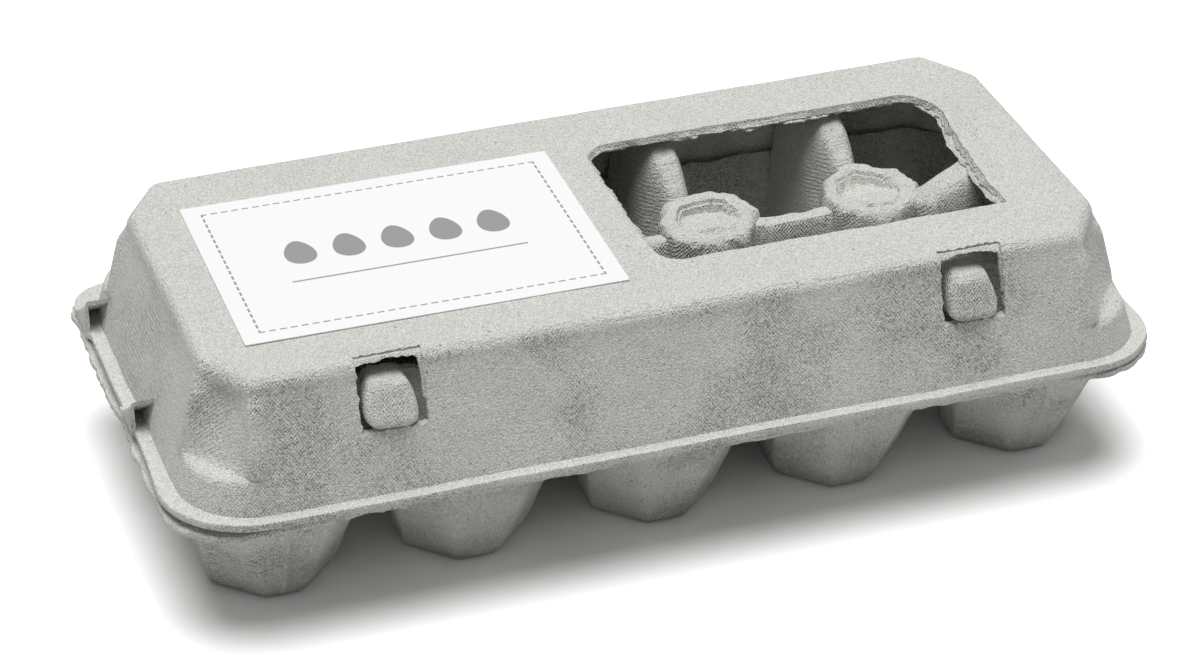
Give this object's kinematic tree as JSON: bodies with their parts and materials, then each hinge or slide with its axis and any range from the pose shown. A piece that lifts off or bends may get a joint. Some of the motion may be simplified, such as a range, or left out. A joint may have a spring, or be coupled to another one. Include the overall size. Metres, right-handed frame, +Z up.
{
  "type": "egg carton",
  "caption": "Pulp egg carton with a hinged domed lid, a viewing window, two latch openings and a blank paper label.",
  "frame": {"origin": "middle of the carton's footprint, on the plane its feet stand on", "axes": "+X along the row of five cells to the right, +Y away from the front with the latches, +Z up"},
  "size_m": [0.2504, 0.1218, 0.0673],
  "materials": {
    "pulp": "matte",
    "label_paper": "matte"
  },
  "bodies": {
    "tray": {"tray": "pulp"},
    "lid": {"lid": "pulp", "label": "label_paper"}
  },
  "joints": [
    {"name": "lid_hinge", "type": "hinge", "parent": "tray", "child": "lid", "pos_m": [0, 0.0601, 0.0328], "axis": [-1, 0, 0], "range_deg": [0, 170]}
  ]
}
